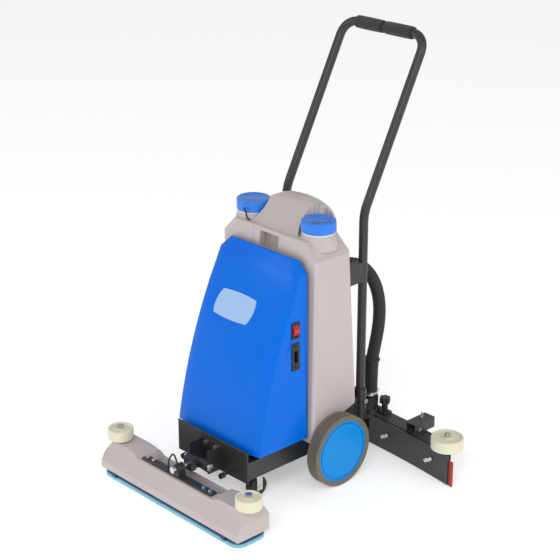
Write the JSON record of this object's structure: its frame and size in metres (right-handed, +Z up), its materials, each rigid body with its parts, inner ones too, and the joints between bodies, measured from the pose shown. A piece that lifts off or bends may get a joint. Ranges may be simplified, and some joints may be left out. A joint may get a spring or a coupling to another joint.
{
  "type": "floor scrubber machine",
  "caption": "Walk-behind floor scrubber with a wide microfibre pad head in front, twin tanks under a bowed hood, a push handle, and a curved vacuum squeegee behind.",
  "frame": {"origin": "floor level under the middle of the machine's box, without the hose", "axes": "+Z up, -Y forward towards the pad head, +X across, on the side that carries the switch"},
  "size_m": [0.774, 0.73, 1.057],
  "materials": {
    "steel": "bright turned steel",
    "battery": "dark moulded battery case",
    "strap": "woven webbing",
    "red_rubber": "soft red squeegee rubber",
    "black_steel": "black powder coat, fine orange peel",
    "dark_grey_steel": "dark grey coat, lightly rubbed",
    "black_rubber": "matt black rubber",
    "blue_cap": "glossy blue moulding",
    "zinc": "zinc plated, slightly dulled",
    "black_plastic": "black moulding",
    "foam": "closed cell foam with fine pores",
    "cream_nylon": "cream nylon, slightly translucent",
    "beige_shell": "warm beige moulding, satin",
    "beige_tank": "warm beige rotational moulding, satin",
    "blue_hood": "deep blue gloss moulding",
    "navy_plastic": "navy moulding",
    "red_rocker": "red switch plastic",
    "blue_hub": "bright blue wheel disc",
    "tyre_rubber": "grey brown solid rubber with fine grooves",
    "microfibre": "pale blue looped microfibre",
    "hose_rubber": "black ribbed hose",
    "motor_grey": "grey enamel"
  },
  "bodies": {
    "root": {"chassis_frame": "black_steel", "axle": "steel", "solution_tank": "beige_tank", "recovery_tank": "beige_tank", "cap_tether": "black_rubber", "pivot_pins": "steel", "batteries": "battery", "battery_strap": "strap", "vacuum_motor": "motor_grey", "water_pump": "motor_grey", "control_box": "black_plastic", "handle_tube": "black_steel", "grips": "foam", "caster_plates": "zinc", "head_bracket": "black_steel", "frame_bolts": "zinc", "stop_knobs": "black_plastic", "hose_port": "black_plastic", "vacuum_hose": "hose_rubber"},
    "wheel_left": {"rear_tyre_left": "tyre_rubber", "rear_hub_left": "blue_hub"},
    "wheel_right": {"rear_tyre_right": "tyre_rubber", "rear_hub_right": "blue_hub"},
    "caster_left": {"caster_fork_left": "zinc"},
    "caster_left_roller": {"caster_wheel_left": "black_rubber"},
    "caster_right": {"caster_fork_right": "zinc"},
    "caster_right_roller": {"caster_wheel_right": "black_rubber"},
    "hood_cover": {"hood": "blue_hood", "switch_housing": "black_plastic", "charger_inlet": "black_plastic", "hood_hinge_flap": "black_steel"},
    "rocker": {"power_rocker": "red_rocker"},
    "cap_left_ring": {"cap_seal_left": "black_rubber"},
    "cap_left_top": {"cap_left": "blue_cap"},
    "cap_right_ring": {"cap_seal_right": "black_rubber"},
    "cap_right_top": {"cap_right": "blue_cap"},
    "head_arm": {"lift_arm": "black_steel", "roll_pin": "steel"},
    "head": {"head_bar": "black_steel", "head_bolts": "zinc", "head_shell": "beige_shell", "pad_board": "navy_plastic", "board_mounts": "black_rubber", "scrub_pad": "microfibre", "head_motor": "zinc"},
    "shaker": {"shaker_weight": "steel"},
    "head_roller_left": {"head_bumper_left": "cream_nylon"},
    "head_roller_right": {"head_bumper_right": "cream_nylon"},
    "squeegee": {"squeegee_yoke": "black_steel", "squeegee_frame": "dark_grey_steel", "blade_strips": "black_steel", "blade_front": "red_rubber", "blade_rear": "red_rubber", "wing_nuts": "zinc", "suction_port": "black_plastic", "squeegee_bolts": "zinc"},
    "knob_left": {"squeegee_knob_left": "black_plastic"},
    "knob_right": {"squeegee_knob_right": "black_plastic"},
    "squeegee_roller_left": {"squeegee_bumper_left": "cream_nylon"},
    "squeegee_roller_right": {"squeegee_bumper_right": "cream_nylon"}
  },
  "joints": [
    {"name": "rear_wheel_left_spin", "type": "hinge", "parent": "root", "child": "wheel_left", "pos_m": [-0.18, 0.026, 0.09], "axis": [1, 0, 0], "continuous": true},
    {"name": "caster_left_swivel", "type": "hinge", "parent": "root", "child": "caster_left", "pos_m": [-0.088, -0.176, 0.065], "axis": [0, 0, 1], "continuous": true},
    {"name": "caster_left_roll", "type": "hinge", "parent": "caster_left", "child": "caster_left_roller", "pos_m": [-0.088, -0.159, 0.025], "axis": [1, 0, 0], "continuous": true},
    {"name": "cap_left_rise", "type": "slide", "parent": "root", "child": "cap_left_ring", "axis": [0, 0, 1], "range_m": [0, 0.0125]},
    {"name": "cap_left_turn", "type": "hinge", "parent": "cap_left_ring", "child": "cap_left_top", "pos_m": [-0.111, 0.02, 0.648], "axis": [0, 0, 1], "range_deg": [0, 720]},
    {"name": "head_roller_left_spin", "type": "hinge", "parent": "head", "child": "head_roller_left", "pos_m": [-0.233, -0.314, 0.1], "axis": [0, 0, 1], "continuous": true},
    {"name": "squeegee_roller_left_spin", "type": "hinge", "parent": "squeegee", "child": "squeegee_roller_left", "pos_m": [-0.346, 0.23209, 0.098], "axis": [0, 0, 1], "continuous": true},
    {"name": "squeegee_knob_left_turn", "type": "hinge", "parent": "squeegee", "child": "knob_left", "pos_m": [-0.11, 0.264, 0.115], "axis": [0, 0, 1], "continuous": true},
    {"name": "rear_wheel_right_spin", "type": "hinge", "parent": "root", "child": "wheel_right", "pos_m": [0.18, 0.026, 0.09], "axis": [1, 0, 0], "continuous": true},
    {"name": "caster_right_swivel", "type": "hinge", "parent": "root", "child": "caster_right", "pos_m": [0.088, -0.176, 0.065], "axis": [0, 0, 1], "continuous": true},
    {"name": "caster_right_roll", "type": "hinge", "parent": "caster_right", "child": "caster_right_roller", "pos_m": [0.088, -0.159, 0.025], "axis": [1, 0, 0], "continuous": true},
    {"name": "cap_right_rise", "type": "slide", "parent": "root", "child": "cap_right_ring", "axis": [0, 0, 1], "range_m": [0, 0.0125]},
    {"name": "cap_right_turn", "type": "hinge", "parent": "cap_right_ring", "child": "cap_right_top", "pos_m": [0.111, 0.02, 0.648], "axis": [0, 0, 1], "range_deg": [0, 720]},
    {"name": "head_roller_right_spin", "type": "hinge", "parent": "head", "child": "head_roller_right", "pos_m": [0.233, -0.314, 0.1], "axis": [0, 0, 1], "continuous": true},
    {"name": "squeegee_roller_right_spin", "type": "hinge", "parent": "squeegee", "child": "squeegee_roller_right", "pos_m": [0.346, 0.23209, 0.098], "axis": [0, 0, 1], "continuous": true},
    {"name": "squeegee_knob_right_turn", "type": "hinge", "parent": "squeegee", "child": "knob_right", "pos_m": [0.11, 0.264, 0.115], "axis": [0, 0, 1], "continuous": true},
    {"name": "hood_open", "type": "hinge", "parent": "root", "child": "hood_cover", "pos_m": [0, -0.201, 0.125], "axis": [1, 0, 0], "range_deg": [0, 28]},
    {"name": "rocker_tip", "type": "hinge", "parent": "hood_cover", "child": "rocker", "pos_m": [0.14223, -0.085, 0.42199], "axis": [0, 1, 0], "range_deg": [-9, 9]},
    {"name": "head_lift", "type": "hinge", "parent": "root", "child": "head_arm", "pos_m": [0, -0.263, 0.092], "axis": [-1, 0, 0], "range_deg": [0, 25]},
    {"name": "head_roll", "type": "hinge", "parent": "head_arm", "child": "head", "pos_m": [0, -0.325, 0.099], "axis": [0, 1, 0], "range_deg": [-4, 4]},
    {"name": "shaker_spin", "type": "hinge", "parent": "head", "child": "shaker", "pos_m": [0.045, -0.3295, 0.04], "axis": [1, 0, 0], "continuous": true},
    {"name": "squeegee_lift", "type": "hinge", "parent": "root", "child": "squeegee", "pos_m": [0, 0.184, 0.098], "axis": [1, 0, 0], "range_deg": [0, 25], "deforming": ["vacuum_hose"]}
  ],
  "couplings": [
    {"joint": "cap_left_rise", "follows": "cap_left_turn", "m_per_rad": 0.00095493},
    {"joint": "cap_right_rise", "follows": "cap_right_turn", "m_per_rad": 0.00095493}
  ]
}
